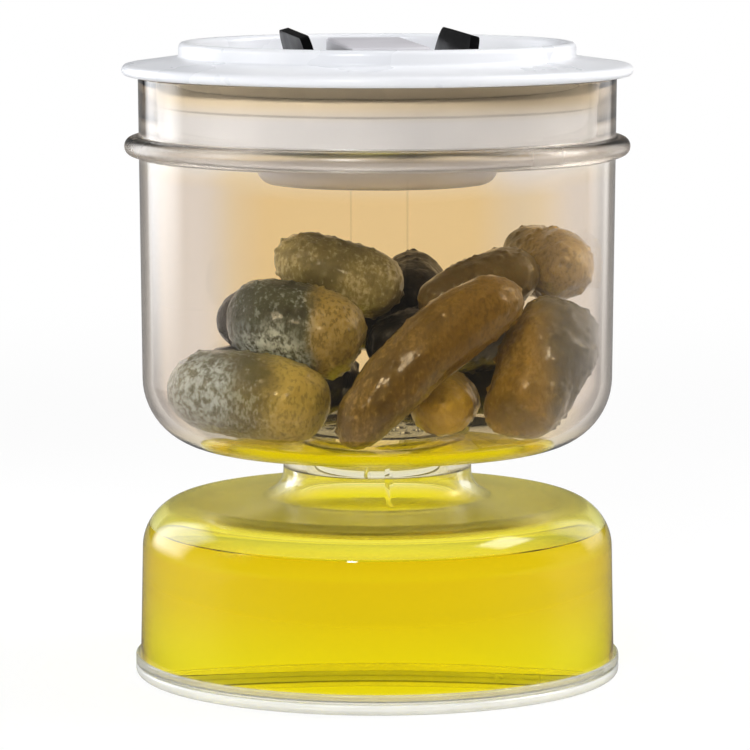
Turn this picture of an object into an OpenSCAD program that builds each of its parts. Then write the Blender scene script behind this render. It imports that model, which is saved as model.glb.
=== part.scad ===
// Hourglass pickle jar: a pickle bowl over a brine dome, joined at a narrow neck, with a cam-locked lid.
// Millimetres. The origin is the middle of the foot, +Z is up and the front faces -Y.

/* [Dome] */
// Outer radius of the dome just below its shoulder
dome_r = 58; // [50:0.5:66]
// How much wider the dome is at its foot
dome_draft = 0.6; // [0:0.1:2]
// Height of the shoulder's top above the table
dome_h = 43.4; // [36:0.1:60]
// Rise of the dome's top from the shoulder to the neck
dome_rise = 0.9; // [0:0.1:3]
// Radius of the rounded shoulder
shoulder_r = 12; // [6:0.5:18]
// Wall of the dome and the bowl
wall = 2.5; // [1.5:0.1:4]
// Height of the brine's surface above the table
brine_level = 35.5; // [10:0.5:36]

/* [Neck] */
// Outer radius of the neck
neck_r = 23.2; // [18:0.2:30]
// Wall of the neck
neck_wall = 3.2; // [2:0.1:5]
// Radius of the fillet from the dome to the neck
neck_fillet = 6; // [2:0.5:9]
// Open height between the dome and the bowl
waist_gap = 12.2; // [10:0.1:20]
// Wall of the bowl's spigot, which is cemented into the neck
spigot_wall = 2.5; // [1.5:0.1:4]
// Length of the spigot below the bowl
spigot_l = 6; // [3:0.5:9]

/* [Bowl] */
// Outer radius of the bowl at its mouth
bowl_r = 58.5; // [52:0.5:66]
// How much narrower the bowl's wall is at the bottom
bowl_draft = 0.7; // [0:0.1:2]
// Height of the bowl from its underside to its rim
bowl_h = 91; // [84:0.5:110]
// Outer radius of the bowl's bottom corner
bowl_corner = 17; // [8:0.5:22]
// Thickness of the bowl's floor
bowl_floor = 2.5; // [2.2:0.1:5]
// Rounding of the rim's edges
rim_round = 0.7; // [0.2:0.1:0.7]
// How far the collar bead stands out from the mouth's radius
bead_out = 3.4; // [2.5:0.1:6]
// Thickness of the collar bead
bead_w = 4.6; // [3:0.1:5]
// Drop from the rim to the middle of the bead
bead_drop = 17.2; // [10:0.1:26]

/* [Base] */
// Wall of the base cap's lip round the dome's foot
base_lip = 1.05; // [0.8:0.05:2.5]
// Height of the base cap
base_h = 5; // [4:0.1:8]
// Thickness of the base cap's floor, above the recess
base_floor = 2.2; // [1.6:0.1:2.8]
// Rounding of the base cap's lower edge
base_edge = 1.2; // [0.5:0.1:1.6]
// Width of the flat ring that the jar stands on
foot_w = 5; // [3:0.5:12]
// Depth of the recess inside the flat ring
foot_recess = 0.8; // [0.3:0.1:1.2]
// Depth of the line round the base cap
line_depth = 0.3; // [0.1:0.1:0.6]
// Thickness of the flat seal under the dome's foot
seal_t = 0.8; // [0.5:0.1:1.2]

/* [Strainer] */
// Thickness of the strainer disc
strainer_t = 1.4; // [1:0.1:1.8]
// Width of the ledge that the strainer sits on
ledge_w = 4.5; // [2:0.5:8]
// Diameter of each drain hole
drain_d = 3.6; // [2:0.2:4.4]
// Distance between the rings of drain holes
drain_pitch = 5.6; // [5:0.2:8]

/* [Lid] */
// How far the flange reaches past the bowl's mouth
flange_out = 4; // [2:0.5:8]
// Thickness of the flange at its edge
flange_t = 2.8; // [2:0.1:4]
// Rise of the flange from its edge to the raised ring
flange_rise = 1.7; // [0.5:0.1:4]
// Height of the raised ring above the flange
ring_h = 3.6; // [2.6:0.1:8]
// Wall of the raised ring
ring_wall = 2.6; // [2:0.1:4]
// Depth of the well below the top of the ring
well_depth = 19.5; // [18:0.1:22]
// Wall of the well below the flange
well_wall = 2; // [1.5:0.1:2.6]
// Thickness of the well's floor
well_floor = 2.1; // [1.6:0.1:3]
// Width of the shoulder that the gasket pushes against
shoulder_w = 4; // [2:0.5:5]
// Depth of that shoulder below the bowl's rim
shoulder_drop = 3.7; // [2:0.1:5]

/* [Gasket] */
// Room round the gasket, to the bowl outside and the well inside
gasket_gap = 0.35; // [0.3:0.05:0.8]
// Thickness of the gasket's lip, from the well to the bowl
gasket_w = 7.15; // [5:0.05:9]
// Height of the gasket's thicker lip
lip_h = 3.3; // [2:0.1:5]
// How far the lip stands out from the skirt
lip_out = 0.5; // [0.2:0.1:1]

/* [Pressure plate] */
// Thickness of the plate
plate_t = 2.4; // [1.6:0.1:4]
// Open height between the plate and the well's floor when the lid is released
plate_gap = 2; // [1.8:0.1:4]
// How far the plate's edge stays inside the gasket
plate_inset = 2.2; // [0.5:0.1:3]
// Radius of the boss under the plate
boss_r = 29.5; // [24:0.5:36]
// Depth of the boss below the plate
boss_h = 8.1; // [7:0.1:12]
// Wall of the boss
boss_wall = 2.2; // [1.6:0.1:3]
// Rounding of the boss's lower edge
boss_edge = 4; // [3:0.5:6]
// Radius of the two posts that pass through the lid
post_r = 4.5; // [4.2:0.1:6]
// Distance of each post from the middle
post_y = 14; // [10:0.5:16]
// Section of the ring that seals each post
stem_seal_w = 1.6; // [1:0.1:2]
// Running clearance of the posts in the lid
post_gap = 0.1; // [0.05:0.01:0.2]

/* [Yoke] */
// Width of the grey cover across the well
cover_w = 19; // [17:0.5:21]
// Length of the grey cover
cover_l = 56; // [50:1:60]
// Wall of the cover
cover_wall = 2; // [1.5:0.1:2.4]
// Room between the cover and the yoke inside it
yoke_gap = 0.5; // [0.3:0.1:1]
// Height of the yoke's bar
yoke_h = 6.5; // [6:0.1:9]
// Radius of the yoke screws
screw_r = 1.75; // [1.25:0.05:2]
// Radius of the screw heads
screw_head_r = 3.3; // [2.6:0.1:3.6]
// Height of the screw heads
screw_head_h = 2.4; // [1.5:0.1:3]

/* [Wings] */
// Length of each wing's blade
wing_l = 56; // [50:1:60]
// Thickness of the blade
wing_t = 2.3; // [1.6:0.1:3]
// Reach of the blade from its pin
wing_reach = 18.85; // [14:0.05:20]
// Rounding of the blade's top corners
wing_corner = 5; // [2:0.5:8]
// Lean of a released wing away from upright
wing_lean = 15; // [5:1:25]
// Turn from released to locked
wing_fold = 75; // [60:1:80]
// Distance of each pin from the middle
pin_x = 15.7; // [15:0.1:17]
// Radius of the hinge pins
pin_r = 1.2; // [0.8:0.05:1.5]
// Running clearance of the wings on their pins
pin_gap = 0.06; // [0.02:0.01:0.1]
// Radius of the hinge lugs
lug_r = 3; // [2.6:0.1:3.1]
// Thickness of each hinge lug
lug_w = 4; // [3:0.5:5]
// Distance of each lug from the middle of the pin
lug_y = 12; // [10:0.5:13]
// Width of each cam foot, outside its lug
foot_l = 6.5; // [4:0.5:7]
// Radius of the cams when released
cam_r = 3.3; // [3.2:0.1:4]
// How far the cams lift the plate
cam_lift = 1.5; // [0.8:0.1:1.6]

/* [Gherkins] */
// Radius of a bowl that the pile fits as it is listed
pile_r = 55.3; // [50:0.1:60]

/* [Hidden] */
// Gap of a cemented or seated joint
joint_gap = 0.15;
// Gap between the brine's solid and what holds it
brine_gap = 0.3;
// Gap between moving faces of the lock
lock_gap = 0.4;
// Gap between the cams and the well's floor
cam_gap = 0.25;
// Gap beside each lug, to the wing's feet and barrel
side_gap = 0.7;
// Amount that joined shapes reach into each other, and that pins stand past their bores
overlap = 0.5;
// Plastic left beside a groove, a blind hole or a row of holes
land = 1;
// Steps in each round stretch of a turned outline
arc_steps = 6;
$fn = 72;

base_r = dome_r + dome_draft + joint_gap + base_lip;
foot_z = base_floor + seal_t + foot_recess;
cap_floor_z = base_floor + foot_recess;
dome_top_z = dome_h + dome_rise;
dome_foot_r = dome_r + dome_draft;
neck_in_r = neck_r - neck_wall;
bowl_z = dome_top_z + waist_gap;
floor_z = bowl_z + bowl_floor;
rim_z = bowl_z + bowl_h;
bead_z = rim_z - bead_drop;
bowl_low_r = bowl_r - bowl_draft;
bowl_in_r = bowl_low_r - wall;
mouth_r = bowl_r - wall;
corner_in_r = bowl_corner - wall;
spigot_r = neck_in_r - joint_gap;
spigot_in_r = spigot_r - spigot_wall;
recess_r = spigot_in_r + ledge_w;
ledge_z = floor_z - strainer_t;

flange_r = bowl_r + flange_out;
crown_z = rim_z + flange_t + flange_rise;
ring_z = crown_z + ring_h;
well_z = ring_z - well_depth;
under_z = well_z - well_floor;
shoulder_z = rim_z - shoulder_drop;
plate_z = under_z - plate_gap;
gasket_r = bowl_in_radius(plate_z) - gasket_gap;
gasket_in_r = gasket_r - gasket_w;
tube_r = gasket_in_r - gasket_gap;
well_r = tube_r - well_wall;
ring_r = well_r + ring_wall;
plate_r = gasket_r - plate_inset;
plate_low_z = plate_z - plate_t;
boss_z = plate_low_z - boss_h;
boss_in_r = boss_r - boss_wall;

groove_r = post_r + post_gap + stem_seal_w;
groove_z = under_z - land;
stem_r = groove_r + land;
stem_z = groove_z - stem_seal_w - land;
yoke_z = well_z + lock_gap;
yoke_w = cover_w - 2 * (cover_wall + yoke_gap);
yoke_l = cover_l - 2 * (cover_wall + yoke_gap);
cover_z = ring_z - joint_gap;
pin_z = well_z + cam_r + cam_gap;
foot_y = lug_y + (lug_w + foot_l) / 2 + side_gap;
barrel_l = 2 * (lug_y - lug_w / 2 - side_gap);
barrel_r = lug_r - joint_gap;
blade_root = lug_r + side_gap;
web_t = wing_t - 2 * joint_gap;
web_top = blade_root + overlap;
pin_l = 2 * (foot_y + overlap) + foot_l;
screw_seat_z = boss_z + screw_head_h + land;
screw_top_z = yoke_z + yoke_h - land - overlap;
post_foot_r = screw_head_r + lock_gap + boss_wall;
slot_top_z = pin_z + lug_r + cam_lift + lock_gap;

// Each row: middle as x, y and height over the bowl's floor, heading, tilt, length, girth and bend
pile = [
    [[-9, 5, 39.8], -12, -20, 32, 16.5, 12],
    [[12.5, 27.5, 33.4], 84, 6, 30, 16, 10],
    [[25, 0, 36.5], 8, 18, 30, 14, 10],
    [[-21, -9, 28], -14, -13, 33, 21, 12],
    [[-33, -16, 11.8], -24, -8, 37, 20, 12],
    [[6.8, -29.5, 23.1], 13, 40, 58, 16, 40],
    [[15, -11, 8.3], 80, 0, 28, 15.5, 8],
    [[37.5, -17, 17.3], 38, 56, 37, 20, 10],
    [[45, 12, 41], 108, 2, 31, 16.5, 14],
    [[20, 11, 23], 28, 0, 47, 15, 10],
    [[-24, 22, 10.8], 30, 0, 47, 20.5, 12],
    [[24, 29, 8.5], -35, 0, 42, 16, 12],
    [[-16.5, 15.5, 27.9], 4, 0, 42, 16.5, 10]
];
pile_fit = bowl_in_r / pile_r;
gherkin_rings = 12;
gherkin_sides = 14;
gherkin_bluntness = 4;
gherkin_taper = 0.08;

gherkin_names = [for (i = [1:len(pile)]) str("gherkin_", i)];

// Points along a round stretch of an outline
function arc(middle, r, from, to, steps = arc_steps) =
    [for (i = [0:steps]) let (a = from + (to - from) * i / steps) middle + r * [cos(a), sin(a)]];

// Outer and inner radius of the bowl's wall at a height
function bowl_out_radius(z) = bowl_r - bowl_draft * (rim_z - z) / (bowl_h - bowl_corner);
function bowl_in_radius(z) = bowl_out_radius(z) - wall;

// A cam's outline point, where the support grows evenly with the turn
function cam_point(turn) =
    let (a = turn - 90)
    let (support = cam_r + cam_lift * turn / wing_fold)
    let (growth = cam_lift / (wing_fold * PI / 180))
    support * [cos(a), sin(a)] + growth * [-sin(a), cos(a)];

module turned(outline) {
    rotate_extrude()
        polygon(outline);
}

// Base cap: a shallow tray with a foot ring, a lip round the dome's foot and a line round the middle
module base_cap() {
    line_z = base_h / 2;
    color("gainsboro")
        turned(concat(
            [[0, foot_recess], [base_r - base_edge - foot_w - foot_recess, foot_recess]],
            [[base_r - base_edge - foot_w, 0]],
            arc([base_r - base_edge, base_edge], base_edge, -90, 0),
            [[base_r, line_z - line_depth], [base_r - line_depth, line_z], [base_r, line_z + line_depth]],
            arc([base_r - base_lip / 2, base_h - base_lip / 2], base_lip / 2, 0, 180),
            [[base_r - base_lip, cap_floor_z], [0, cap_floor_z]]
        ));
}

// Base seal: a flat ring under the dome's foot
module base_seal() {
    color("white")
        translate([0, 0, cap_floor_z])
            difference() {
                cylinder(r = dome_foot_r, h = seal_t);
                translate([0, 0, -overlap])
                    cylinder(r = dome_foot_r - wall, h = seal_t + 2 * overlap);
            }
}

// Brine dome: the lower chamber and the neck in one clear moulding
module brine_dome() {
    shoulder = [dome_r - shoulder_r, dome_h - shoulder_r];
    color("lightyellow", 0.4)
        turned(concat(
            [[dome_foot_r, foot_z]],
            arc(shoulder, shoulder_r, 0, 90, 2 * arc_steps),
            arc([neck_r + neck_fillet, dome_top_z + neck_fillet], neck_fillet, -90, -180),
            [[neck_r, bowl_z], [neck_in_r, bowl_z], [neck_in_r, dome_top_z - wall]],
            arc(shoulder, shoulder_r - wall, 90, 0, 2 * arc_steps),
            [[dome_foot_r - wall, foot_z]]
        ));
}

// Brine: the liquid in the dome, up to its level
module brine() {
    shoulder = [dome_r - shoulder_r, dome_h - shoulder_r];
    color("gold", 0.7)
        rotate_extrude()
            intersection() {
                polygon(concat(
                    [[0, cap_floor_z], [dome_foot_r - wall - brine_gap, cap_floor_z]],
                    arc(shoulder, shoulder_r - wall - brine_gap, 0, 90, 2 * arc_steps),
                    [[0, dome_h - wall - brine_gap]]
                ));
                square([dome_foot_r, brine_level]);
            }
}

// Pickle bowl: the upper chamber, with its collar bead, strainer ledge and spigot
module pickle_bowl() {
    bead_r = bead_w / 2;
    color("aliceblue", 0.35)
        turned(concat(
            [[spigot_in_r, bowl_z - spigot_l], [spigot_r, bowl_z - spigot_l], [spigot_r, bowl_z]],
            arc([bowl_low_r - bowl_corner, bowl_z + bowl_corner], bowl_corner, -90, 0, 2 * arc_steps),
            [[bowl_out_radius(bead_z - bead_r), bead_z - bead_r]],
            arc([bowl_r + bead_out - bead_r, bead_z], bead_r, -90, 90),
            [[bowl_out_radius(bead_z + bead_r), bead_z + bead_r]],
            arc([bowl_r - rim_round, rim_z - rim_round], rim_round, 0, 90),
            arc([mouth_r + rim_round, rim_z - rim_round], rim_round, 90, 180),
            arc([bowl_in_r - corner_in_r, floor_z + corner_in_r], corner_in_r, 0, -90, 2 * arc_steps),
            [[recess_r, floor_z], [recess_r, ledge_z], [spigot_in_r, ledge_z]]
        ));
}

// Strainer: a disc on the ledge, with rings of drain holes inside the spigot's bore
module strainer() {
    ring_count = floor((spigot_in_r - drain_d / 2 - land) / drain_pitch);
    color("whitesmoke", 0.6)
        translate([0, 0, ledge_z])
            difference() {
                cylinder(r = recess_r - joint_gap, h = strainer_t);
                drain_hole();
                for (ring = [1:ring_count])
                    for (i = [1:6 * ring])
                        rotate([0, 0, 60 * i / ring])
                            translate([ring * drain_pitch, 0, 0])
                                drain_hole();
            }
}

module drain_hole() {
    translate([0, 0, -overlap])
        cylinder(d = drain_d, h = strainer_t + 2 * overlap);
}

// Puts its children at both posts
module at_posts() {
    for (side = [-1, 1])
        translate([0, side * post_y, 0])
            children();
}

// Lid cap: flange, raised ring and deep well, with a sealed sleeve for each post
module lid_cap() {
    edge_r = flange_t / 2;
    top_r = ring_wall / 2;
    color("white")
        difference() {
            union() {
                turned(concat(
                    [[0, under_z], [tube_r, under_z], [tube_r, shoulder_z]],
                    [[tube_r + shoulder_w, shoulder_z], [tube_r + shoulder_w, rim_z]],
                    arc([flange_r - edge_r, rim_z + edge_r], edge_r, -90, 90),
                    [[ring_r, crown_z]],
                    arc([ring_r - top_r, ring_z - top_r], top_r, 0, 180),
                    [[well_r, well_z], [0, well_z]]
                ));
                at_posts()
                    translate([0, 0, stem_z])
                        cylinder(r = stem_r, h = under_z - stem_z + overlap);
            }
            at_posts() {
                translate([0, 0, stem_z - overlap])
                    cylinder(r = post_r + post_gap, h = well_z - stem_z + 2 * overlap);
                translate([0, 0, groove_z - stem_seal_w])
                    cylinder(r = groove_r, h = stem_seal_w);
            }
        }
}

// Stem seals: a ring in the groove of each sleeve
module stem_seals() {
    color("dimgray")
        at_posts()
            translate([0, 0, groove_z - stem_seal_w])
                difference() {
                    cylinder(r = groove_r, h = stem_seal_w);
                    translate([0, 0, -overlap])
                        cylinder(r = post_r + post_gap, h = stem_seal_w + 2 * overlap);
                }
}

// Lid gasket: a sleeve between the lid's shoulder and the plate, with a thicker lip at the top
module lid_gasket() {
    lip_z = shoulder_z - lip_h;
    skirt_r = gasket_r - lip_out;
    color("whitesmoke")
        turned([
            [gasket_in_r, plate_z], [skirt_r, plate_z], [skirt_r, lip_z - lip_out],
            [gasket_r, lip_z], [gasket_r, shoulder_z], [gasket_in_r, shoulder_z]
        ]);
}

// Pressure plate: a disc with a hollow boss, and two posts that carry the yoke
module pressure_plate() {
    edge_r = plate_t / 2;
    boss_turn = [boss_r - boss_edge, boss_z + boss_edge];
    color("snow")
        difference() {
            union() {
                turned(concat(
                    [[0, boss_z]],
                    arc(boss_turn, boss_edge, -90, 0),
                    [[boss_r, plate_low_z]],
                    arc([plate_r - edge_r, plate_low_z + edge_r], edge_r, -90, 90),
                    [[boss_in_r, plate_z]],
                    arc(boss_turn, boss_edge - boss_wall, 0, -90),
                    [[0, boss_z + boss_wall]]
                ));
                at_posts() {
                    translate([0, 0, boss_z + boss_wall - overlap])
                        cylinder(r = post_foot_r, h = screw_head_h + overlap);
                    translate([0, 0, boss_z + boss_wall])
                        cylinder(r = post_r, h = yoke_z - boss_z - boss_wall);
                }
            }
            at_posts() {
                translate([0, 0, boss_z])
                    cylinder(r = screw_r + pin_gap, h = yoke_z - boss_z + overlap);
                translate([0, 0, boss_z - overlap])
                    cylinder(r = screw_head_r + lock_gap, h = screw_seat_z - boss_z + overlap);
            }
        }
}

// Yoke: a bar inside the grey cover, with lugs that reach out to the hinge pins
module yoke() {
    color("silver")
        difference() {
            union() {
                translate([-yoke_w / 2, -yoke_l / 2, yoke_z])
                    cube([yoke_w, yoke_l, yoke_h]);
                for (side = [-1, 1])
                    for (end = [-1, 1])
                        translate([0, end * lug_y - lug_w / 2, pin_z])
                            hinge_lug(side);
            }
            for (side = [-1, 1])
                translate([side * pin_x, 0, pin_z])
                    rotate([90, 0, 0])
                        cylinder(r = pin_r + pin_gap, h = pin_l, center = true);
            at_posts()
                translate([0, 0, yoke_z - overlap])
                    cylinder(r = screw_r + pin_gap, h = screw_top_z - yoke_z + 2 * overlap);
        }
}

module hinge_lug(side) {
    translate([side * pin_x, 0, 0])
        rotate([-90, 0, 0])
            cylinder(r = lug_r, h = lug_w);
    translate([side > 0 ? 0 : -pin_x, 0, -lug_r])
        cube([pin_x, lug_w, 2 * lug_r]);
}

// Yoke cover: the grey block seen across the well, slotted at its foot for the lugs
module yoke_cover() {
    slot_w = lug_w + 2 * lock_gap;
    room = [cover_w - 2 * cover_wall, cover_l - 2 * cover_wall];
    color("lightgray")
        difference() {
            translate([-cover_w / 2, -cover_l / 2, well_z])
                cube([cover_w, cover_l, cover_z - well_z]);
            translate([-room[0] / 2, -room[1] / 2, well_z - overlap])
                cube([room[0], room[1], cover_z - well_z - cover_wall + overlap]);
            for (end = [-1, 1])
                translate([-cover_w, end * lug_y - slot_w / 2, well_z - overlap])
                    cube([2 * cover_w, slot_w, slot_top_z - well_z + overlap]);
        }
}

// Yoke screws: driven up through the posts into the yoke
module yoke_screws() {
    color("lightsteelblue")
        at_posts() {
            translate([0, 0, screw_seat_z - screw_head_h])
                cylinder(r = screw_head_r, h = screw_head_h);
            translate([0, 0, screw_seat_z - overlap])
                cylinder(r = screw_r, h = screw_top_z - screw_seat_z + overlap);
        }
}

module wing_pin(side) {
    color("lightsteelblue")
        translate([side * pin_x, 0, pin_z])
            rotate([90, 0, 0])
                cylinder(r = pin_r, h = pin_l, center = true);
}

module wing_pin_left() {
    wing_pin(-1);
}

module wing_pin_right() {
    wing_pin(1);
}

// Blade outline, seen from the side: length across, reach upwards, with rounded top corners
module blade_outline() {
    half = wing_l / 2 - wing_corner;
    top = wing_reach - wing_corner;
    polygon(concat(
        [[-wing_l / 2, blade_root], [wing_l / 2, blade_root]],
        arc([half, top], wing_corner, 0, 90),
        arc([-half, top], wing_corner, 90, 180)
    ));
}

// Cam foot outline, seen along the pin, with the neck that carries the blade
module cam_outline() {
    up = web_top * [sin(wing_lean), cos(wing_lean)];
    out = web_t / 2 * [cos(wing_lean), -sin(wing_lean)];
    polygon(concat(
        [for (i = [0:2 * arc_steps]) cam_point(wing_fold * i / (2 * arc_steps))],
        [up + out, up - out],
        arc([0, 0], cam_r, 180 - wing_lean, 270)
    ));
}

// Wing: a blade on two cam feet and a middle barrel. The cams bear on the well's floor as it folds out
module wing(side) {
    color("black")
        translate([side * pin_x, 0, pin_z])
            mirror([side > 0 ? 0 : 1, 0, 0])
                difference() {
                    union() {
                        rotate([0, wing_lean, 0])
                            translate([-wing_t / 2, 0, 0])
                                rotate([90, 0, 90])
                                    linear_extrude(wing_t)
                                        blade_outline();
                        for (end = [-1, 1])
                            translate([0, end * foot_y + foot_l / 2, 0])
                                rotate([90, 0, 0])
                                    linear_extrude(foot_l)
                                        cam_outline();
                        rotate([90, 0, 0])
                            cylinder(r = barrel_r, h = barrel_l, center = true);
                        rotate([0, wing_lean, 0])
                            translate([-web_t / 2, overlap - barrel_l / 2, 0])
                                cube([web_t, barrel_l - 2 * overlap, web_top]);
                    }
                    rotate([90, 0, 0])
                        cylinder(r = pin_r + pin_gap, h = wing_l, center = true);
                }
}

module wing_left() {
    wing(-1);
}

module wing_right() {
    wing(1);
}

// Gherkin: a blunt, tapered body swept along a gentle bend and laid in the pile
module gherkin(row) {
    middle = row[0];
    length = row[3];
    girth = row[4];
    bend = row[5];
    bend_r = length / (bend * PI / 180);
    shares = [for (i = [1:gherkin_rings]) -cos(180 * i / (gherkin_rings + 1))];
    spine = function (t) bend_r * [sin(bend * t / 2), 0, cos(bend * t / 2) - 1];
    thick = function (t) girth / 2 * sqrt(1 - pow(abs(t), gherkin_bluntness)) * (1 + gherkin_taper * t);
    outward = function (t, a) [sin(bend * t / 2) * cos(a), sin(a), cos(bend * t / 2) * cos(a)];
    skin = [for (t = shares) for (k = [0:gherkin_sides - 1])
        spine(t) + thick(t) * outward(t, 360 * k / gherkin_sides)];
    last = len(skin);
    end = gherkin_rings - 1;
    color("darkolivegreen")
        translate(pile_fit * middle + [0, 0, floor_z])
            rotate([0, -row[2], row[1]])
                scale(pile_fit)
                    polyhedron(
                        points = concat(skin, [spine(-1), spine(1)]),
                        faces = concat(
                            [for (i = [0:end - 1]) for (k = [0:gherkin_sides - 1])
                                for (face = skin_faces(i, k)) face],
                            [for (k = [0:gherkin_sides - 1]) [last, skin_index(0, k + 1), skin_index(0, k)]],
                            [for (k = [0:gherkin_sides - 1])
                                [last + 1, skin_index(end, k), skin_index(end, k + 1)]]
                        )
                    );
}

function skin_index(ring, side) = ring * gherkin_sides + side % gherkin_sides;
function skin_faces(i, k) = [
    [skin_index(i, k), skin_index(i, k + 1), skin_index(i + 1, k)],
    [skin_index(i, k + 1), skin_index(i + 1, k + 1), skin_index(i + 1, k)]
];

base_cap();
base_seal();
brine_dome();
brine();
pickle_bowl();
strainer();
lid_cap();
lid_gasket();
stem_seals();
yoke_cover();
pressure_plate();
yoke();
yoke_screws();
wing_pin_left();
wing_pin_right();
wing_left();
wing_right();
for (i = [0:len(pile) - 1])
    gherkin(pile[i]);
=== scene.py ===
import math

import bmesh
import bpy
from mathutils import Matrix, Vector, noise


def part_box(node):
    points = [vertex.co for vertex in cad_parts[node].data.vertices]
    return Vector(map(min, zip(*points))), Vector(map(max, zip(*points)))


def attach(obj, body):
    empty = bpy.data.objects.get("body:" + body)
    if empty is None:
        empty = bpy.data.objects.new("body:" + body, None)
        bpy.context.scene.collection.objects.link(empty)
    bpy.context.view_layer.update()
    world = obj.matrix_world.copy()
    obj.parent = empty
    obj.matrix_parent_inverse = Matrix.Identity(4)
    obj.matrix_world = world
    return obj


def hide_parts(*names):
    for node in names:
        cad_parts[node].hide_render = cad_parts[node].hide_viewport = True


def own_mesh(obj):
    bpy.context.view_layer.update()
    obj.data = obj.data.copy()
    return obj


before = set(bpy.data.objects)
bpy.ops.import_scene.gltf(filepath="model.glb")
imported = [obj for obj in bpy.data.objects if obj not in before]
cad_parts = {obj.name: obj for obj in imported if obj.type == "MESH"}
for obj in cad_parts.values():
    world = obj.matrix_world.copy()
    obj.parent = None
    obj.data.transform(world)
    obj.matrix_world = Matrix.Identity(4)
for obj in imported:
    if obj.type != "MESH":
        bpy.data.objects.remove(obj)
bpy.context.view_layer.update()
scene = bpy.context.scene
mm = 0.001
up = Vector((0, 0, 1))
white = (1, 1, 1, 1)
weld = 0.002 * mm  # points nearer than this become one
print("frame loaded:", len(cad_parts), "nodes")


# camera at the photograph's angle, in degrees, mm and pixels
view = {"turn": 7.0, "pitch": 6.94, "away": 1057, "high": 202.2,
        "focal": 4320, "middle": 377.3, "frame": 750, "sensor": 36}
bounces = {"all": 24, "glossy": 16, "transmission": 20}  # light runs a long way inside the clear walls

turn = math.radians(view["turn"])
cameraData = bpy.data.cameras.new("camera")
cameraData.sensor_width = view["sensor"]
cameraData.lens = view["focal"] / view["frame"] * view["sensor"]
cameraData.shift_x = 0.5 - view["middle"] / view["frame"]
camera = bpy.data.objects.new("camera", cameraData)
camera.location = (-view["away"] * math.sin(turn) * mm,
                   -view["away"] * math.cos(turn) * mm,
                   view["high"] * mm)
camera.rotation_euler = (math.radians(90 - view["pitch"]), 0, -turn)
scene.collection.objects.link(camera)
scene.camera = camera
scene.view_settings.view_transform = "Standard"
scene.cycles.max_bounces = bounces["all"]
scene.cycles.glossy_bounces = bounces["glossy"]
scene.cycles.transmission_bounces = bounces["transmission"]
print("camera set, lens", round(cameraData.lens, 1))


class Wire:  # a shader socket that can stand in a sum
    def __init__(self, tree, socket=None):
        self.tree = tree
        self.socket = socket

    def add(self, kind, settings, inputs, output=0):
        made = self.tree.nodes.new("ShaderNode" + kind)
        for name, value in settings.items():
            if name == "stops":
                ramp = made.color_ramp.elements
                while len(ramp) < len(value):
                    ramp.new(1.0)
                for stop, (position, colour) in zip(ramp, value):
                    stop.position = position
                    stop.color = colour
            else:
                setattr(made, name, value)
        for name, value in inputs.items():
            if isinstance(value, Wire):
                self.tree.links.new(value.socket, made.inputs[name])
            else:
                made.inputs[name].default_value = value
        return Wire(self.tree, made.outputs[output] if made.outputs else None)

    def calc(self, operation, first, second):
        return self.add("Math", {"operation": operation}, {0: first, 1: second})

    def __add__(self, other):
        return self.calc("ADD", self, other)

    def __radd__(self, other):
        return self.calc("ADD", other, self)

    def __sub__(self, other):
        return self.calc("SUBTRACT", self, other)

    def __rsub__(self, other):
        return self.calc("SUBTRACT", other, self)

    def __mul__(self, other):
        return self.calc("MULTIPLY", self, other)

    def __rmul__(self, other):
        return self.calc("MULTIPLY", other, self)


def tone(red, green, blue):  # a screen colour, 0 to 255, as a shader colour
    parts = [value / 255 for value in (red, green, blue)]
    linear = [part / 12.92 if part <= 0.04045 else ((part + 0.055) / 1.055) ** 2.4 for part in parts]
    return (*linear, 1.0)


def startFinish(name):
    finish = bpy.data.materials.new(name)
    finish.use_nodes = True
    finish.node_tree.nodes.clear()
    return finish, Wire(finish.node_tree).add("TexCoord", {}, {}, "Object")


def endFinish(place, surface, volume=None):
    inputs = {"Surface": surface}
    if volume:
        inputs["Volume"] = volume
    place.add("OutputMaterial", {}, inputs)


def onAxis(place, axis):
    return place.add("SeparateXYZ", {}, {0: place}, axis)


def ofRay(wire, fact):
    return wire.add("LightPath", {}, {}, fact)


def speckle(place, scale, detail=2.0, rough=0.5):
    return place.add("TexNoise", {}, {"Vector": place, "Scale": scale, "Detail": detail, "Roughness": rough})


def stretched(place, stretch):
    return place.add("Mapping", {}, {"Vector": place, "Scale": stretch})


def between(value, low, high, atLow=0.0, atHigh=1.0):
    return value.add("MapRange", {"interpolation_type": "SMOOTHSTEP"},
                     {"Value": value, "From Min": low, "From Max": high, "To Min": atLow, "To Max": atHigh})


def overLength(length, span, atStart=0.0, atEnd=1.0):  # the same, where the span is in mm
    return between(length, span[0] * mm, span[1] * mm, atStart, atEnd)


def mixed(factor, first, second):
    return factor.add("Mix", {"data_type": "RGBA"}, {0: factor, 6: first, 7: second}, 2)


def bumped(height, strength, depth):  # depth in mm
    return height.add("Bump", {}, {"Strength": strength, "Distance": depth * mm, "Height": height})


def principled(place, inputs):
    return place.add("BsdfPrincipled", {}, inputs)


def seeThrough(place, surface, tint):  # lamps reach what stands behind clear plastic or brine
    clear = place.add("BsdfTransparent", {}, {"Color": tint})
    return place.add("MixShader", {}, {0: ofRay(place, "Is Shadow Ray"), 1: surface, 2: clear})


def heightRamp(rise, stops):  # stops are a height in mm and a colour
    top = stops[-1][0]
    shares = [(height / top, colour) for height, colour in stops]
    return rise.add("ValToRGB", {"stops": shares}, {0: rise * (1 / (top * mm))})


plasticIor = 1.49

# what the clear mouldings share: patchy haze, slight waves, and the fade of a frosted band in mm
moulding = {"hazeScale": 38, "hazeDetail": 3.0, "hazeRange": (0.35, 0.75),
            "waveScale": 55, "waveDetail": 1.0, "waveStretch": (1.0, 1.0, 0.35),
            "waveStrength": 0.06, "waveDepth": 0.4, "frostFade": 1}


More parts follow.
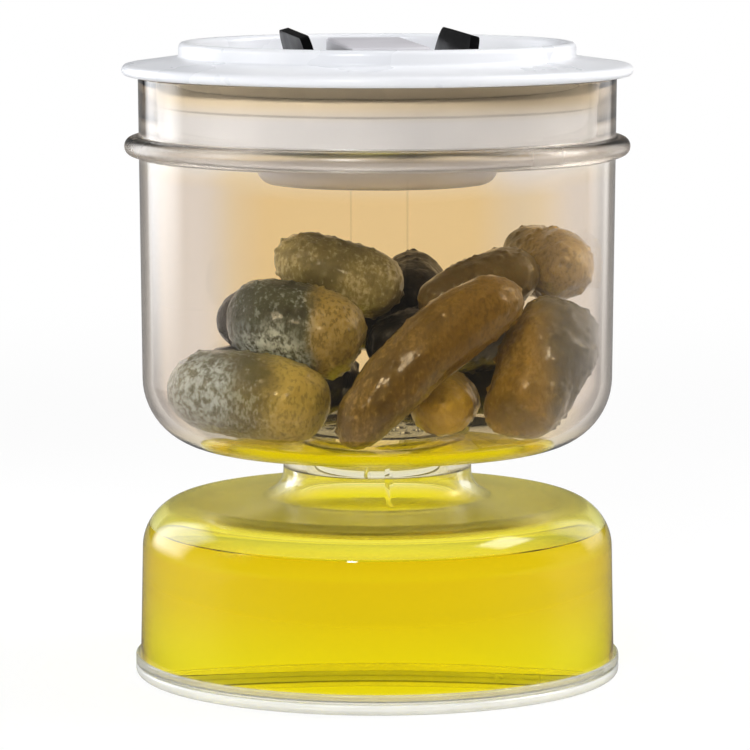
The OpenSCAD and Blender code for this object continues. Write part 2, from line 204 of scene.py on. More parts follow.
# the paler flanks are painted reflection and the darkening where the wall is seen edge on is painted shade; the mould
# line is the wall's own
def wallTint(place, rise, tint, wall, band):  # paler flanks, a fine mould line, and darker where it is seen edge on
    across = place.add("Math", {"operation": "ABSOLUTE"}, {0: onAxis(place, "X")})
    upright = overLength(rise, wall["foot"]) * overLength(rise, wall["head"], 1.0, 0.0)
    # painted reflection: the flanks turn pale lilac-grey in place of the painted tan
    flank = overLength(across, wall["flanks"], 0.0, wall["flankShare"]) * upright
    line = overLength(across, wall["line"], wall["lineShare"], 0.0) * upright
    # painted shade: the wall is darkened where it is seen edge on, standing in for the dark refractions at its
    # silhouettes
    facing = place.add("LayerWeight", {}, {"Blend": 0.5}, "Facing")
    grazing = between(facing, *wall["grazing"], 0.0, wall["edgeShare"])
    edge = grazing * overLength(rise, wall["edgeFoot"]) * (1 - band)  # the frosted band stays pale
    tint = mixed(flank, tint, wall["paintedFlankReflection"])
    tint = mixed(line, tint, wall["lineTone"])
    return mixed(edge, tint, wall["paintedEdgeShade"])


def clearPlastic(name, look):  # one tint or tints by height, and where the look has them a frosted band and a wall
    finish, place = startFinish(name)
    rise = onAxis(place, "Z")
    tint = look["tint"] if "tint" in look else heightRamp(rise, look["tints"])
    haze = speckle(place, moulding["hazeScale"], moulding["hazeDetail"])
    roughness = between(haze, *moulding["hazeRange"], look["gloss"], look["haze"])
    if "frost" in look:
        low, high, frost = look["frost"]
        fade = moulding["frostFade"]
        band = overLength(rise, (low - fade, low + fade)) * overLength(rise, (high - fade, high + fade), 1.0, 0.0)
        roughness = roughness + band * frost
        if "wall" in look:
            tint = wallTint(place, rise, tint, look["wall"], band)
    waves = speckle(stretched(place, moulding["waveStretch"]), moulding["waveScale"], moulding["waveDetail"])
    surface = principled(place, {
        "Base Color": tint,
        "Roughness": roughness,
        "IOR": plasticIor,
        "Transmission Weight": 1.0,
        "Normal": bumped(waves, moulding["waveStrength"], moulding["waveDepth"]),
    })
    volume = place.add("VolumeAbsorption", {}, {"Color": look["depthTone"], "Density": look["density"]})
    endFinish(place, seeThrough(place, surface, look["shade"]), volume)
    return finish


# what the opaque plastics and rubbers share: patches of tone and gloss, and the depth of the grain in mm
paint = {"cloudScale": 45, "cloudDetail": 3.0, "toneRange": (0.3, 0.7), "glossRange": (0.25, 0.75), "grainDepth": 0.05}


def paintedPlastic(name, look):
    finish, place = startFinish(name)
    cloud = speckle(place, paint["cloudScale"], paint["cloudDetail"])
    surface = principled(place, {
        "Base Color": mixed(between(cloud, *paint["toneRange"]), look["deep"], look["pale"]),
        "Roughness": between(cloud, *paint["glossRange"], look["gloss"], look["matt"]),
        "IOR": plasticIor,
        "Specular IOR Level": look.get("shine", 0.5),
        "Transmission Weight": look.get("clear", 0.0),
        "Normal": bumped(speckle(place, look["grain"]), look["relief"], paint["grainDepth"]),
    })
    endFinish(place, surface)
    return finish


# painted: the tan on the wall stands for the warm surroundings seen through it
wallTan = (0.97, 0.82, 0.575, 1)
beadPale = (0.985, 0.978, 0.973, 1)
# painted reflection: the warm surroundings as they show in the gap under the lid, seen through the rim
rimTan = (0.98, 0.87, 0.68, 1)
shoulderGold = (0.97, 0.86, 0.5, 1)

# tints start at a height in mm; spans in the wall are in mm, up the wall or across from the middle
bowlClear = clearPlastic("bowl clear plastic", {
    "tints": [(56.5, (0.99, 0.98, 0.86, 1)), (64, wallTan), (121, wallTan),
              (128, beadPale), (139, beadPale), (143, rimTan), (150, rimTan)],
    "wall": {"foot": (60, 64), "head": (122, 127),
             "flanks": (30, 44), "flankShare": 0.95, "paintedFlankReflection": (0.91, 0.865, 0.835, 1),
             "line": (0.1, 0.32), "lineShare": 0.2, "lineTone": (0.3, 0.26, 0.2, 1),
             "grazing": (0.62, 0.84), "edgeFoot": (60, 66), "edgeShare": 0.9, "paintedEdgeShade": (0.08, 0.07, 0.06, 1)},
    "frost": (127.5, 133.5, 0.26), "gloss": 0.0, "haze": 0.02,
    "depthTone": (0.74, 0.64, 0.5, 1), "density": 60, "shade": (0.98, 0.96, 0.92, 1)})
domeClear = clearPlastic("dome clear plastic", {
    "tints": [(0, (1.0, 0.99, 0.35, 1)), (9, (1.0, 0.985, 0.35, 1)), (22, shoulderGold), (33, shoulderGold),
              (39, (0.99, 0.96, 0.3, 1)), (43, (1.0, 0.87, 0.2, 1)), (46, (0.98, 0.93, 0.5, 1)),
              (50, (0.99, 0.98, 0.93, 1)), (60, (0.99, 0.985, 0.97, 1))],
    "frost": (41.5, 45.5, 0.2), "gloss": 0.0, "haze": 0.03,
    "depthTone": (0.74, 0.68, 0.5, 1), "density": 8, "shade": (0.97, 0.97, 0.96, 1)})
strainerClear = clearPlastic("strainer clear plastic", {
    "tint": (0.97, 0.97, 0.93, 1), "gloss": 0.04, "haze": 0.12,
    "depthTone": (0.8, 0.78, 0.7, 1), "density": 30, "shade": (0.9, 0.9, 0.86, 1)})
lidWhite = paintedPlastic("lid white plastic", {
    "pale": tone(236, 237, 240), "deep": tone(229, 231, 236),
    "gloss": 0.24, "matt": 0.36, "grain": 900, "relief": 0.05})
plateWhite = paintedPlastic("plate white plastic", {
    "pale": tone(226, 224, 226), "deep": tone(216, 213, 216),
    "gloss": 0.3, "matt": 0.42, "grain": 900, "relief": 0.05})
coverGrey = paintedPlastic("cover grey plastic", {
    "pale": tone(213, 211, 216), "deep": tone(204, 202, 208),
    "gloss": 0.38, "matt": 0.5, "grain": 2600, "relief": 0.3})
wingBlack = paintedPlastic("wing black plastic", {
    "pale": tone(10, 10, 11), "deep": tone(5, 5, 6),
    "gloss": 0.26, "matt": 0.4, "grain": 2200, "relief": 0.2, "shine": 0.04})
siliconePale = paintedPlastic("pale silicone", {
    "pale": tone(216, 216, 219), "deep": tone(207, 207, 210),
    "gloss": 0.5, "matt": 0.66, "grain": 1200, "relief": 0.12})
sealPale = paintedPlastic("translucent silicone", {
    "pale": tone(240, 240, 238), "deep": tone(230, 230, 228),
    "gloss": 0.2, "matt": 0.3, "grain": 1200, "relief": 0.1, "clear": 1.0})
sealRubber = paintedPlastic("seal rubber", {
    "pale": tone(62, 62, 63), "deep": tone(48, 48, 49),
    "gloss": 0.55, "matt": 0.7, "grain": 1500, "relief": 0.25})

# screws and pins
steelLook = {"lineScale": 2400, "lineDetail": 3.0, "lineStretch": (1.0, 0.06, 1.0),
             "dark": tone(176, 178, 182), "light": tone(214, 215, 218),
             "lineRange": (0.3, 0.7), "polished": 0.2, "dull": 0.38, "relief": 0.2, "reliefDepth": 0.02}


def groundSteel(name, look):
    finish, place = startFinish(name)
    lines = speckle(stretched(place, look["lineStretch"]), look["lineScale"], look["lineDetail"])
    surface = principled(place, {
        "Base Color": mixed(lines, look["dark"], look["light"]),
        "Metallic": 1.0,
        "Roughness": between(lines, *look["lineRange"], look["polished"], look["dull"]),
        "Normal": bumped(lines, look["relief"], look["reliefDepth"]),
    })
    endFinish(place, surface)
    return finish


# a pale ring, thinner above its groove, and a clearer floor under the brine; ringInside and groove are in mm
baseLook = {"pale": tone(246, 246, 245), "palest": tone(253, 253, 252),
            "cloudScale": 60, "cloudDetail": 3.0, "cloudRange": (0.3, 0.7), "gloss": 0.14, "matt": 0.26,
            "grain": 700, "relief": 0.05, "reliefDepth": 0.05, "ringClear": 0.4, "floorIor": 1.1,
            "ringInside": (55.6, 56.2), "groove": (2.2, 2.9), "ringTop": 0.35}


def basePlastic(name, look):
    finish, place = startFinish(name)
    cloud = speckle(place, look["cloudScale"], look["cloudDetail"])
    shared = {"Base Color": mixed(between(cloud, *look["cloudRange"]), look["pale"], look["palest"]),
              "Roughness": between(cloud, *look["cloudRange"], look["gloss"], look["matt"]),
              "Normal": bumped(speckle(place, look["grain"]), look["relief"], look["reliefDepth"])}
    ring = principled(place, {**shared, "IOR": plasticIor, "Transmission Weight": look["ringClear"]})
    floor = principled(place, {**shared, "IOR": look["floorIor"], "Transmission Weight": 1.0})
    level = place.add("VectorMath", {"operation": "MULTIPLY"}, {0: place, 1: (1, 1, 0)})
    reach = level.add("VectorMath", {"operation": "LENGTH"}, {0: level}, "Value")
    thinner = overLength(onAxis(place, "Z"), look["groove"], 1.0, look["ringTop"])
    ringShare = overLength(reach, look["ringInside"]) * thinner
    endFinish(place, place.add("MixShader", {}, {0: ringShare, 1: floor, 2: ring}))
    return finish


brineLook = {"surfaceTone": (1.0, 0.985, 0.9, 1), "ior": 1.34, "hazeScale": 90, "hazeRange": (0.3, 0.8), "haze": 0.02,
             "rippleScale": 30, "rippleDetail": 1.0, "ripple": 0.04, "rippleDepth": 0.5,
             "depthTone": (0.9955, 0.987, 0.0, 1), "density": 140}


def brineLiquid(name, look):
    finish, place = startFinish(name)
    ripple = speckle(place, look["rippleScale"], look["rippleDetail"])
    surface = principled(place, {
        "Base Color": look["surfaceTone"],
        "Roughness": between(speckle(place, look["hazeScale"]), *look["hazeRange"], 0.0, look["haze"]),
        "IOR": look["ior"],
        "Transmission Weight": 1.0,
        "Normal": bumped(ripple, look["ripple"], look["rippleDepth"]),
    })
    volume = place.add("VolumeAbsorption", {}, {"Color": look["depthTone"], "Density": look["density"]})
    endFinish(place, seeThrough(place, surface, white), volume)
    return finish


steel = groundSteel("ground steel", steelLook)
basePale = basePlastic("base pale plastic", baseLook)
brineGold = brineLiquid("golden brine", brineLook)
print("finishes made:", len(bpy.data.materials))


def setPiece(name, bm, body, node, finish, sharp=40):  # sharp is the angle past which an edge is kept hard
    mesh = bpy.data.meshes.new(name)
    bm.to_mesh(mesh)
    bm.free()
    mesh.shade_smooth()
    mesh.set_sharp_from_angle(angle=math.radians(sharp))
    mesh.materials.append(finish)
    piece = bpy.data.objects.new(name, mesh)
    scene.collection.objects.link(piece)
    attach(piece, body)
    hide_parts(node)
    return piece


turning = {"steps": 144, "fewest": 3, "most": 16}  # steps round the jar, and along a rounded corner


def spun(corners, joined=True):  # corners are radius, height and rounding in mm
    bm = bmesh.new()
    line = [bm.verts.new((r * mm, 0, z * mm)) for r, z, roundness in corners]
    for here, there in zip(line, line[1:] + line[:1] if joined else line[1:]):
        bm.edges.new((here, there))
    for corner, (r, z, roundness) in zip(line, corners):
        if roundness:
            before, after = [edge.other_vert(corner).co - corner.co for edge in corner.link_edges]
            reach = roundness * mm / math.tan(before.angle(after) / 2)
            segments = min(turning["most"], turning["fewest"] + round(roundness))
            bmesh.ops.bevel(bm, geom=[corner], offset=reach, offset_type="OFFSET", affect="VERTICES",
                            segments=segments, profile=0.5, material=-1, clamp_overlap=True)
    bmesh.ops.spin(bm, geom=bm.verts[:] + bm.edges[:], cent=(0, 0, 0), axis=up, dvec=(0, 0, 0),
                   angle=2 * math.pi, steps=turning["steps"], use_merge=True)
    bmesh.ops.remove_doubles(bm, verts=bm.verts[:], dist=weld)
    bmesh.ops.recalc_face_normals(bm, faces=bm.faces[:])
    return bm


def seamed(bm, seam):  # a mould line down the front and back of the outer face, in mm
    for side in (-1, 1):
        bmesh.ops.bisect_plane(bm, geom=bm.verts[:] + bm.edges[:] + bm.faces[:], dist=1e-7,
                               plane_co=(side * seam["wide"] * mm, 0, 0), plane_no=(1, 0, 0))
    for vert in bm.verts:
        onLine = abs(vert.co.x) < 1e-6 and abs(vert.co.y) > seam["inner"] * mm
        if onLine and seam["low"] * mm < vert.co.z < seam["high"] * mm:
            vert.co.y += math.copysign(seam["rise"] * mm, vert.co.y)


# the clear bowl, with its bead, strainer ledge and spigot
pickleBowl = {"outline": [
    (17.35, 50.5, 0.4), (20.15, 50.5, 0.4), (20.15, 56.5, 0), (57.64, 56.5, 17),
    (58.32, 128.0, 0.7), (61.9, 128.0, 2.25), (61.9, 132.6, 2.25), (58.36, 132.6, 0.7),
    (58.5, 147.5, 0.7), (56.0, 147.5, 0.7), (55.16, 59.0, 14.5),
    (21.85, 59.0, 0.3), (21.85, 57.6, 0.2), (17.35, 57.6, 0.3)],
    "seam": {"rise": 0.13, "wide": 0.3, "low": 74, "high": 127, "inner": 57}}

bowl = spun(pickleBowl["outline"])
seamed(bowl, pickleBowl["seam"])
setPiece("pickle_bowl_clear", bowl, "jar", "pickle_bowl", bowlClear)

# the clear dome and neck, whose top reaches a little into the bowl's floor
brineDome = {"outline": [
    (58.6, 3.8, 0.3), (57.74, 42.8, 12), (23.2, 44.62, 6), (23.2, 56.8, 0.2), (20.0, 56.8, 0.2),
    (20.0, 41.9, 8), (55.3, 40.3, 9.5), (56.1, 3.8, 0.3)],
    "seam": {"rise": 0.9, "wide": 1.0, "low": 45.2, "high": 57, "inner": 22.9}}

dome = spun(brineDome["outline"])
seamed(dome, brineDome["seam"])
setPiece("brine_dome_clear", dome, "jar", "brine_dome", domeClear)

# the brine, which wets the wall and climbs it a little at the surface
brineBody = {"outline": [
    (0, 3.05, 0), (56.55, 3.05, 0), (55.95, 31.4, 6), (54.95, 36.2, 0), (53.6, 35.5, 1.2), (0, 35.5, 0)]}

setPiece("brine_liquid", spun(brineBody["outline"], False), "jar", "brine", brineGold)

# the foot ring and floor
baseCap = {"outline": [
    (0, 0.8, 0), (52.8, 0.8, 0.4), (53.6, 0, 0.4), (59.8, 0, 1.2), (59.8, 2.15, 0.15), (59.45, 2.5, 0.1),
    (59.8, 2.85, 0.15), (59.8, 5.0, 0.5), (58.75, 5.0, 0.5), (58.75, 3.0, 0.2), (0, 3.0, 0)]}

setPiece("base_cap_pale", spun(baseCap["outline"], False), "jar", "base_cap", basePale)

# the gasket, which the plate squeezes against the lid
lidGasket = {"outline": [
    (48.4, 132.0, 0.5), (55.0, 132.0, 0.9), (55.0, 139.9, 0.3),
    (55.5, 140.5, 0.3), (55.5, 143.8, 0.6), (48.4, 143.8, 0.3)],
    "fixed": 143.8, "keep": 0.873}

gasket = setPiece("lid_gasket_sleeve", spun(lidGasket["outline"]), "lid", "lid_gasket", siliconePale)
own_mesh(gasket)
print("turned pieces made")


flatTurn = math.radians(1)  # faces that meet at less become one
sharpTurn = math.radians(40)  # edges that turn by more are eased


def dressed(node, name, body, finish, look):  # a copy of a CAD piece with its edges eased
    bm = bmesh.new()
    bm.from_mesh(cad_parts[node].data)
    bmesh.ops.remove_doubles(bm, verts=bm.verts[:], dist=weld)
    bmesh.ops.dissolve_limit(bm, angle_limit=flatTurn, verts=bm.verts[:], edges=bm.edges[:])
    edges = [edge for edge in bm.edges if len(edge.link_faces) == 2 and edge.calc_face_angle() > sharpTurn
             and all(vert.co.z > look["low"] * mm for vert in edge.verts)
             and (edge.is_convex or look["inside"])]
    bmesh.ops.bevel(bm, geom=edges, offset=look["ease"] * mm, offset_type="OFFSET", affect="EDGES",
                    segments=look["steps"], profile=0.5, material=-1, clamp_overlap=True)
    setPiece(name, bm, body, node, finish)


# the lid and its lock: edges above low are eased, the inside corners too where there is room; low and ease are in mm
lidEdges = {"low": 130, "ease": 0.5, "steps": 3, "inside": True}
plateEdges = {"low": 110, "ease": 0.4, "steps": 2, "inside": True}
coverEdges = {"low": 137, "ease": 0.8, "steps": 4, "inside": False}
yokeEdges = {"low": 110, "ease": 0.3, "steps": 2, "inside": True}
wingEdges = {"low": 143.5, "ease": 0.6, "steps": 3, "inside": True}

dressed("lid_cap", "lid_cap_white", "lid", lidWhite, lidEdges)
dressed("pressure_plate", "pressure_plate_white", "plate", plateWhite, plateEdges)
dressed("yoke_cover", "yoke_cover_grey", "lid", coverGrey, coverEdges)
dressed("yoke", "yoke_grey", "plate", coverGrey, yokeEdges)
for wing in ("wing_left", "wing_right"):
    dressed(wing, wing + "_black", wing, wingBlack, wingEdges)

# CAD pieces that keep their shape
plainNodes = {"strainer": strainerClear, "base_seal": sealPale, "stem_seals": sealRubber,
              "yoke_screws": steel, "wing_pin_left": steel, "wing_pin_right": steel}
for node, finish in plainNodes.items():
    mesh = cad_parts[node].data
    mesh.materials.clear()
    mesh.materials.append(finish)
print("lid and lock dressed")


# what the gherkins' skins share: noise scales, the noise range over which a tone comes in, and ragged borders in mm
skinLook = {"patchScale": 85, "patchDetail": 3.0, "patches": (0.36, 0.62), "fleckScale": 520,
            "wrinkleScale": 1100, "wrinkleDetail": 3.0, "wrinkleRough": 0.6, "wrinkleStretch": (1.0, 1.0, 0.6),
            "folds": (0.38, 0.5), "foldShare": 0.45, "fleckAndSheen": (0.76, 0.9), "sheenMottle": (0.4, 0.6), "sheenMottleLeast": 0.1,
            "sheenCore": 0.4, "endRagged": 14, "sheenRagged": 12, "cleanEnd": 0.8,
            "fleckRange": (0.3, 0.7), "gloss": 0.34, "matt": 0.5, "wetRange": (0.35, 0.65), "driest": 0.7,
            "relief": 0.8, "reliefDepth": 0.4}


def gherkinSkin(name, look):
    finish, place = startFinish(name)
    along = onAxis(place, "X")
    patch = speckle(place, skinLook["patchScale"], skinLook["patchDetail"])
    fleck = speckle(place, skinLook["fleckScale"])
    wrinkle = speckle(stretched(place, skinLook["wrinkleStretch"]),
                      skinLook["wrinkleScale"], skinLook["wrinkleDetail"], skinLook["wrinkleRough"])
    skin = look["skin"]
    end = overLength(along + (patch - 0.5) * (skinLook["endRagged"] * mm), look["end"])
    body = mixed(between(patch, *skinLook["patches"]), skin["dark"], skin["mid"])
    body = mixed(end, body, skin["end"])
    body = mixed(between(wrinkle, *skinLook["folds"], skinLook["foldShare"], 0.0), body, skin["dark"])
    # pale flecks: partly paler skin, partly painted sheen of light on the wet warts
    pale = between(wrinkle * 0.7 + fleck * 0.3 + patch * 0.5, *skinLook["fleckAndSheen"], 0.0, look["fleck"])
    # painted sheen: a pale patch standing in for the left window's reflection on the wet skin, in the fleck tone
    if "frost" in look:
        x, z, reach, strength = look["frost"]
        sideways = along - x * mm
        upwards = onAxis(place, "Z") - z * mm
        off = place.calc("SQRT", sideways * sideways + upwards * upwards, 0.0)
        off = off + (patch - 0.5) * (skinLook["sheenRagged"] * mm)
        frost = overLength(off, (reach * skinLook["sheenCore"], reach), strength, 0.0)
        frost = frost * between(fleck * 0.4 + wrinkle * 0.6, *skinLook["sheenMottle"], skinLook["sheenMottleLeast"], 1.0)
        pale = place.calc("MAXIMUM", pale, frost)
    body = mixed(pale * (1 - end * skinLook["cleanEnd"]), body, skin["fleck"])
    wet = look.get("wet", 1.0)
    surface = principled(place, {
        "Base Color": body,
        "Roughness": between(fleck, *skinLook["fleckRange"], skinLook["gloss"], skinLook["matt"]),
        "IOR": 1.45,
        "Specular IOR Level": 0.15,
        "Subsurface Weight": 0.05,
        "Subsurface Radius": (1.0, 0.7, 0.25),
        "Subsurface Scale": 0.002,
        "Coat Weight": between(patch, *skinLook["wetRange"], wet * skinLook["driest"], wet),
        "Coat Roughness": 0.1,
        "Normal": bumped(wrinkle * 0.5 + fleck * 0.5, skinLook["relief"], skinLook["reliefDepth"]),
    })
    endFinish(place, surface)
    return finish


# skins: patchy body, the tone of the end that lies to the right, and the tone of pale flecks, partly paler skin and
# partly painted sheen
amber = {"dark": tone(69, 56, 18), "mid": tone(93, 76, 26), "end": tone(98, 77, 25), "fleck": tone(160, 142, 88)}
bronze = {"dark": tone(96, 80, 30), "mid": tone(140, 114, 42), "end": tone(68, 60, 27), "fleck": tone(168, 152, 100)}
# paler than the skin's own tone because gherkin 7 lies in shade: painted light
honey = {"dark": tone(148, 126, 46), "mid": tone(188, 160, 60), "end": tone(110, 92, 40), "fleck": tone(190, 170, 108)}
olive = {"dark": tone(90, 78, 40), "mid": tone(136, 116, 60), "end": tone(156, 128, 62), "fleck": tone(172, 162, 118)}
sage = {"dark": tone(96, 92, 62), "mid": tone(142, 135, 94), "end": tone(98, 86, 52), "fleck": tone(186, 184, 156)}
umber = {"dark": tone(84, 78, 48), "mid": tone(126, 117, 76), "end": tone(86, 72, 38), "fleck": tone(176, 170, 142)}
# near-black, darker than a gherkin's own dark green: partly the skin's colour, mostly painted shade for the gherkins at
# the back of the pile
nightGreen = {"dark": tone(14, 13, 7), "mid": tone(24, 21, 11), "end": tone(27, 22, 11), "fleck": tone(56, 54, 40)}
# the next two fleck in a bluish white that is painted sheen, and it also colours their painted sheen patch
blueGreen = {"dark": tone(44, 48, 38), "mid": tone(66, 72, 60), "end": tone(132, 117, 62), "fleck": tone(188, 204, 214)}
mossPale = {"dark": tone(72, 70, 42), "mid": tone(92, 88, 52), "end": tone(148, 137, 72), "fleck": tone(192, 204, 202)}

# end is the x range in mm over which the end tone comes in, fleck how strong the pale flecks are, which are partly
# paler skin and partly painted sheen, a patch of painted sheen, where a gherkin has one, gives its x, z and reach in mm
# and its strength, wet the shine where it isn't full, and lump, wart and plump are heights in mm
pile = {
    1: {"skin": sage, "end": (2, 12), "fleck": 0.5, "lump": 0.7, "wart": 1.5, "plump": 0.3},
    2: {"skin": nightGreen, "end": (0, 30), "fleck": 0.2, "lump": 0.6, "wart": 1.0, "plump": 0.6, "wet": 0.35},
    3: {"skin": umber, "end": (-20, 10), "fleck": 0.2, "lump": 0.7, "wart": 1.4, "plump": 0.6},
    4: {"skin": blueGreen, "end": (-20, -15), "fleck": 0.25, "lump": 0.6, "wart": 1.2, "plump": 0.5,
        "frost": (-28, 78.5, 13, 0.8)},
    5: {"skin": mossPale, "end": (-34, -25), "fleck": 0.25, "lump": 0.7, "wart": 0.9, "plump": 1.2,
        "frost": (-47, 72, 14, 0.6)},
    6: {"skin": amber, "end": (-10, 24), "fleck": 0.25, "lump": 0.6, "wart": 0.9, "plump": 0.4},
    7: {"skin": honey, "end": (90, 99), "fleck": 0.2, "lump": 0.5, "wart": 0.8, "plump": 0.8},
    8: {"skin": bronze, "end": (34, 42), "fleck": 0.2, "lump": 1.1, "wart": 1.6, "plump": 0.9},
    9: {"skin": olive, "end": (30, 52), "fleck": 0.3, "lump": 0.9, "wart": 1.4, "plump": 1.0},
    10: {"skin": nightGreen, "end": (10, 40), "fleck": 0.2, "lump": 0.6, "wart": 1.0, "plump": 1.6},
    11: {"skin": nightGreen, "end": (-40, 0), "fleck": 0.2, "lump": 0.6, "wart": 1.0, "plump": 1.2},
    12: {"skin": nightGreen, "end": (0, 40), "fleck": 0.2, "lump": 0.6, "wart": 1.0, "plump": 1.2},
    13: {"skin": nightGreen, "end": (-30, 0), "fleck": 0.2, "lump": 0.6, "wart": 1.0, "plump": 1.2}}

# scales are per mm, shift moves each gherkin's noise, and warts drawn smaller than wartLeast are left out
skinMaking = {"cuts": 7, "smoothing": 24, "shift": (3.1, 1.7, 0.9), "lumpScale": 0.1, "lumpDetail": 2.7,
              "wartScale": 0.36, "wartReach": 0.45, "wartPeak": 1.5, "wartDraw": 5.3, "wartLeast": 0.36,
              "pimpleScale": 0.55, "pimple": 0.1}
cradle = {"turnR": 40.8, "turnZ": 73.5, "round": 14.2}  # the bowl's inner corner, which also sets its wall and floor


def keptInside(spot):  # a point that has swollen into the bowl is pressed back to its inner face
    reach = math.hypot(spot.x, spot.y)
    out = max(reach - cradle["turnR"] * mm, 0)
    down = min(spot.z - cradle["turnZ"] * mm, 0)
    past = math.hypot(out, down) / (cradle["round"] * mm)
    if past <= 1:
        return spot
    inwards = (cradle["turnR"] * mm + out / past) / reach if out else 1.0
    return Vector((spot.x * inwards, spot.y * inwards, spot.z - down + down / past))


def skinHeight(spot, shift, look):  # in mm, at a spot in mm
    lump = noise.noise(spot * skinMaking["lumpScale"] + shift)
    lump += 0.5 * noise.noise(spot * skinMaking["lumpScale"] * skinMaking["lumpDetail"] + shift)
    near, middles = noise.voronoi(spot * skinMaking["wartScale"] + shift)
    size = 0.5 + 0.5 * noise.noise(middles[0] * skinMaking["wartDraw"])
    wart = max(0.0, 1 - near[0] / skinMaking["wartReach"]) ** skinMaking["wartPeak"]
    wart *= size if size > skinMaking["wartLeast"] else 0
    pimple = noise.noise(spot * skinMaking["pimpleScale"] + shift) * skinMaking["pimple"]
    return look["plump"] + lump * look["lump"] + wart * look["wart"] + pimple


def gherkinMesh(node, number, look):  # smoothed at its own size, then raised along the normals
    bm = bmesh.new()
    bm.from_mesh(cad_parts[node].data)
    bmesh.ops.remove_doubles(bm, verts=bm.verts[:], dist=weld)
    bmesh.ops.join_triangles(bm, faces=bm.faces[:], angle_face_threshold=1.0, angle_shape_threshold=1.5)
    bmesh.ops.subdivide_edges(bm, edges=bm.edges[:], cuts=skinMaking["cuts"], use_grid_fill=True)
    for passing in range(skinMaking["smoothing"]):
        bmesh.ops.smooth_vert(bm, verts=bm.verts[:], factor=0.5, use_axis_x=True, use_axis_y=True, use_axis_z=True)
    low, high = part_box(node)
    drawnIn = Vector([max(v.co[k] for v in bm.verts) - min(v.co[k] for v in bm.verts) for k in range(3)])
    fuller = (high - low).length / drawnIn.length
    bmesh.ops.scale(bm, vec=(fuller, fuller, fuller), space=Matrix.Translation(-(low + high) / 2), verts=bm.verts[:])
    bm.normal_update()
    shift = Vector([number * step for step in skinMaking["shift"]])
    raised = [skinHeight(vert.co * 1000, shift, look) for vert in bm.verts]
    for vert, height in zip(bm.verts, raised):
        vert.co = keptInside(vert.co + vert.normal * height * mm)
    return bm


for number, look in pile.items():
    node = "gherkin_" + str(number)
    finish = gherkinSkin(node + " skin", look)
    setPiece(node + "_skin", gherkinMesh(node, number, look), "jar", node, finish, 75)
print("gherkins made:", len(pile))


# plain pale floor, white to the camera and through the clear plastic, keeping part of the shadow near the jar;
# in reflections it is dim before the jar and brighter behind it; spans are in metres
stageLook = {"size": 8.0, "floorTone": (0.9, 0.9, 0.9, 1), "whiteNear": 0.86, "shadowFades": (0.2, 0.9),
             "dim": 0.12, "bright": 0.26, "floorInner": (-0.3, 0.0), "floorGloss": (-0.2, 0.4)}

floorMesh = bmesh.new()
bmesh.ops.create_grid(floorMesh, x_segments=4, y_segments=4, size=stageLook["size"])
floorData = bpy.data.meshes.new("floor")
floorMesh.to_mesh(floorData)
floorMesh.free()
floor = bpy.data.objects.new("floor", floorData)
scene.collection.objects.link(floor)


# three masks: what the camera sees straight or through plastic, in reflections inside the jar, and in those on it
def sight(tree):
    path = Wire(tree)
    glossy = ofRay(path, "Is Glossy Ray")
    through = ofRay(path, "Is Transmission Ray")
    unlit = 1 - path.calc("MINIMUM", ofRay(path, "Diffuse Depth"), 1.0)  # none of these lights the jar
    turned = path.calc("MINIMUM", ofRay(path, "Glossy Depth"), 1.0)
    seen = path.calc("MINIMUM", ofRay(path, "Is Camera Ray") + through, 1.0) * unlit
    return seen * (1 - turned), seen * turned, path.calc("MAXIMUM", glossy - through, 0.0) * unlit


floorFinish, floorPlace = startFinish("floor")
plain, inner, mirrored = sight(floorFinish.node_tree)
depth = onAxis(floorPlace, "Y")
away = floorPlace.add("VectorMath", {"operation": "LENGTH"}, {0: floorPlace}, "Value")
whiteness = between(away, *stageLook["shadowFades"], stageLook["whiteNear"], 1.0)
innerLevel = between(depth, *stageLook["floorInner"], stageLook["dim"], 1.0)
glossLevel = between(depth, *stageLook["floorGloss"], stageLook["dim"], stageLook["bright"])
cloth = floorPlace.add("BsdfDiffuse", {}, {"Color": stageLook["floorTone"]})
strength = plain + inner * innerLevel + mirrored * glossLevel
glow = floorPlace.add("Emission", {}, {"Color": white, "Strength": strength})
glowing = plain * whiteness + inner + mirrored
endFinish(floorPlace, floorPlace.add("MixShader", {}, {0: glowing, 1: cloth, 2: glow}))
floorData.materials.append(floorFinish)

# white surroundings, dimmer as a light than as a background, and in reflections dim before the jar and high up;
# spans are the heading's part to the back or up, from -1 to 1
skyLook = {"dim": 0.12, "gloss": 0.08, "high": 0.3, "ambient": 0.4,
           "innerBack": (-0.2, 0.3), "innerUp": (0.25, 0.6), "glossBack": (-0.2, 0.4)}

world = bpy.data.worlds.new("surround")
scene.world = world
world.use_nodes = True
world.node_tree.nodes.clear()
plain, inner, mirrored = sight(world.node_tree)
heading = plain.add("TexCoord", {}, {}, "Generated")
back = onAxis(heading, "Y")
innerLevel = between(back, *skyLook["innerBack"], skyLook["dim"], 1.0)
innerLevel = innerLevel * between(onAxis(heading, "Z"), *skyLook["innerUp"], 1.0, skyLook["high"])
glossLevel = between(back, *skyLook["glossBack"], skyLook["dim"], skyLook["gloss"])
strength = plain + inner * innerLevel + mirrored * glossLevel
strength = strength + (1 - plain - inner - mirrored) * skyLook["ambient"]
plain.add("OutputWorld", {}, {"Surface": plain.add("Background", {}, {"Color": white, "Strength": strength})})

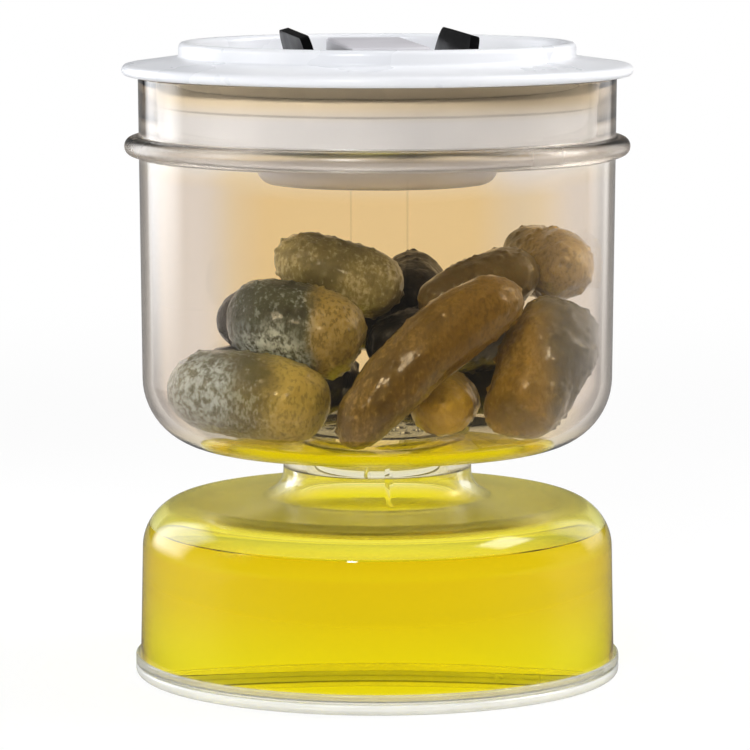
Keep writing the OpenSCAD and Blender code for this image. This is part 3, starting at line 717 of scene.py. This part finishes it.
lamps = {  # place, what it faces, size in metres, power in watts, tone, whether clear plastic mirrors it
    "left window": ((-0.29, 0.22, 0.17), (0, 0, 0.1), (0.3, 0.34), 0.6, (0.95, 0.97, 1.0), True),
    "right window": ((0.31, 0.2, 0.17), (0, 0, 0.1), (0.22, 0.32), 0.14, (1.0, 0.98, 0.96), True),
    "high right": ((0.5, -0.05, 0.62), (0, 0, 0.05), (0.4, 0.24), 1.0, (1.0, 1.0, 1.0), True),
    "spark": ((-0.3, -0.8, 0.7), (0, 0, 0.08), (0.1, 0.1), 0.4, (1.0, 1.0, 1.0), True),
    "left": ((-0.7, -0.1, 0.42), (0, 0, 0.1), (0.3, 0.4), 1.0, (0.97, 0.98, 1.0), False),
    "right": ((0.6, 0.0, 0.4), (0, 0, 0.1), (0.22, 0.36), 1.6, (1.0, 0.99, 0.98), False),
    "top": ((0.05, -0.1, 0.9), (0, 0, 0.1), (0.4, 0.4), 0.2, (1.0, 1.0, 1.0), False),
    "front": ((-0.5, -1.2, 0.8), (0, 0, 0.08), (0.36, 0.36), 6.2, (1.0, 1.0, 1.0), False)}
softEdge = {"across": 0.22, "along": 0.2, "gain": 2.2}  # a lamp fades to its edges, and the gain makes up for it

for name, (spot, target, (wide, tall), power, glowTone, shiny) in lamps.items():
    lampData = bpy.data.lights.new(name, "AREA")
    lampData.shape = "RECTANGLE"
    lampData.size, lampData.size_y = wide, tall
    lampData.energy = power
    lampData.color = glowTone
    lampData.use_nodes = True
    lampData.node_tree.nodes.clear()
    spread = Wire(lampData.node_tree).add("NewGeometry", {}, {}, "Parametric")
    across = onAxis(spread, "X")
    along = onAxis(spread, "Y")
    fade = between(across * (1 - across), 0.0, softEdge["across"])
    fade = fade * between(along * (1 - along), 0.0, softEdge["along"])
    spread.add("OutputLight", {}, {"Surface": spread.add("Emission", {}, {"Strength": fade * softEdge["gain"]})})
    lamp = bpy.data.objects.new(name, lampData)
    lamp.location = spot
    lamp.rotation_euler = (Vector(target) - Vector(spot)).to_track_quat("-Z", "Y").to_euler()
    lamp.visible_camera = False
    lamp.visible_transmission = False
    lampData.cycles.use_multiple_importance_sampling = shiny
    scene.collection.objects.link(lamp)
print("stage and lamps set")
